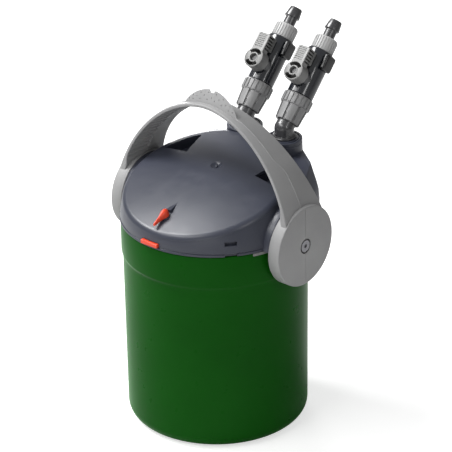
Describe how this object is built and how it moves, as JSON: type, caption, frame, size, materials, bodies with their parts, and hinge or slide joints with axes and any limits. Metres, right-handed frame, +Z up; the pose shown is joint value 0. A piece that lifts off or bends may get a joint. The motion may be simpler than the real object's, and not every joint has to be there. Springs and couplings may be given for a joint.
{
  "type": "canister filter",
  "caption": "External aquarium canister filter: green tub, dark sloping pump head, swinging arch handle and leaning shut-off taps with hose ends.",
  "frame": {"origin": "middle of the canister's flat bottom, on the floor", "axes": "+Z up, -Y to the front where the lid slopes down, +X to the right-hand hub seen from the front"},
  "size_m": [0.205, 0.2453, 0.3577],
  "materials": {
    "green": "glossy dark green",
    "anthracite": "satin dark grey",
    "light_grey": "fine-textured light grey",
    "pale_grey": "satin pale grey",
    "mid_grey": "satin mid grey",
    "black_gloss": "glossy blue-black",
    "red": "satin orange-red",
    "inner_grey": "plain grey",
    "seal": "matt black rubber",
    "steel": "plain steel",
    "iron": "dull laminated iron",
    "copper": "varnished copper",
    "ceramic": "plain white",
    "foam_blue": "coarse blue foam",
    "foam_white": "white fleece",
    "media": "porous tan ceramic"
  },
  "bodies": {
    "tub": {"canister": "green", "bottom_grid": "inner_grey", "lower_basket": "inner_grey", "upper_basket": "inner_grey", "basket_screen": "inner_grey", "coarse_pad": "foam_blue", "bio_media": "media", "fine_pad": "foam_white", "intake_pipe": "inner_grey", "lock_lugs": "pale_grey"},
    "pump_head": {"lid_shell": "anthracite", "lid_cover": "anthracite", "pump_deck": "inner_grey", "lid_seal": "seal", "deck_screws": "steel", "stator_core": "iron", "stator_coils": "copper", "rotor_shaft": "ceramic", "shaft_bushes": "seal", "pump_cover": "inner_grey", "suction_duct": "inner_grey", "pressure_duct": "inner_grey", "cable_gland": "seal", "pivot_screws": "steel", "vent_pin": "steel", "elbow_left": "black_gloss", "elbow_right": "black_gloss", "elbow_seals": "seal", "tap_body_left": "black_gloss", "tap_body_right": "black_gloss", "coupling_seals": "seal", "hose_barb_left": "black_gloss", "hose_barb_right": "black_gloss"},
    "carry_handle": {"handle": "light_grey"},
    "vent": {"vent_lever": "red"},
    "catch": {"front_catch": "red"},
    "rotor": {"rotor_magnet": "iron", "impeller": "pale_grey"},
    "union_left": {"union_nut_left": "mid_grey"},
    "hose_ring_left": {"hose_nut_left": "pale_grey"},
    "tap_left": {"tap_lever_left": "pale_grey", "tap_plug_left": "inner_grey", "plug_seal_left": "seal", "knob_screw_left": "steel"},
    "release_left": {"release_catch_left": "black_gloss"},
    "union_right": {"union_nut_right": "mid_grey"},
    "hose_ring_right": {"hose_nut_right": "pale_grey"},
    "tap_right": {"tap_lever_right": "pale_grey", "tap_plug_right": "inner_grey", "plug_seal_right": "seal", "knob_screw_right": "steel"},
    "release_right": {"release_catch_right": "black_gloss"}
  },
  "joints": [
    {"name": "head_lift", "type": "slide", "parent": "tub", "child": "pump_head", "axis": [0, 0, 1], "range_m": [0, 0.1]},
    {"name": "handle_swing", "type": "hinge", "parent": "pump_head", "child": "carry_handle", "pos_m": [0, 0.008, 0.199], "axis": [1, 0, 0], "range_deg": [0, 90]},
    {"name": "vent_turn", "type": "hinge", "parent": "pump_head", "child": "vent", "pos_m": [0, -0.06977, 0.22921], "axis": [0, -0.2756, 0.9613], "range_deg": [0, 90]},
    {"name": "catch_press", "type": "slide", "parent": "pump_head", "child": "catch", "axis": [0, 1, 0], "range_m": [0, 0.002], "stiffness_N_per_m": 300},
    {"name": "rotor_spin", "type": "hinge", "parent": "pump_head", "child": "rotor", "pos_m": [0, 0, 0.2], "axis": [0, 0, 1], "continuous": true},
    {"name": "union_turn_left", "type": "hinge", "parent": "pump_head", "child": "union_left", "pos_m": [-0.024, 0.08332, 0.28328], "axis": [0, 0.6884, 0.7254], "continuous": true},
    {"name": "hose_nut_turn_left", "type": "hinge", "parent": "pump_head", "child": "hose_ring_left", "pos_m": [-0.024, 0.1322, 0.33478], "axis": [0, 0.6884, 0.7254], "continuous": true},
    {"name": "tap_turn_left", "type": "hinge", "parent": "pump_head", "child": "tap_left", "pos_m": [-0.024, 0.10652, 0.30773], "axis": [0, -0.7254, 0.6884], "range_deg": [0, 90]},
    {"name": "release_press_left", "type": "slide", "parent": "pump_head", "child": "release_left", "axis": [-1, 0, 0], "range_m": [0, 0.0018], "stiffness_N_per_m": 300},
    {"name": "union_turn_right", "type": "hinge", "parent": "pump_head", "child": "union_right", "pos_m": [0.024, 0.08332, 0.28328], "axis": [0, 0.6884, 0.7254], "continuous": true},
    {"name": "hose_nut_turn_right", "type": "hinge", "parent": "pump_head", "child": "hose_ring_right", "pos_m": [0.024, 0.1322, 0.33478], "axis": [0, 0.6884, 0.7254], "continuous": true},
    {"name": "tap_turn_right", "type": "hinge", "parent": "pump_head", "child": "tap_right", "pos_m": [0.024, 0.10652, 0.30773], "axis": [0, -0.7254, 0.6884], "range_deg": [0, 90]},
    {"name": "release_press_right", "type": "slide", "parent": "pump_head", "child": "release_right", "axis": [-1, 0, 0], "range_m": [0, 0.0018], "stiffness_N_per_m": 300}
  ]
}
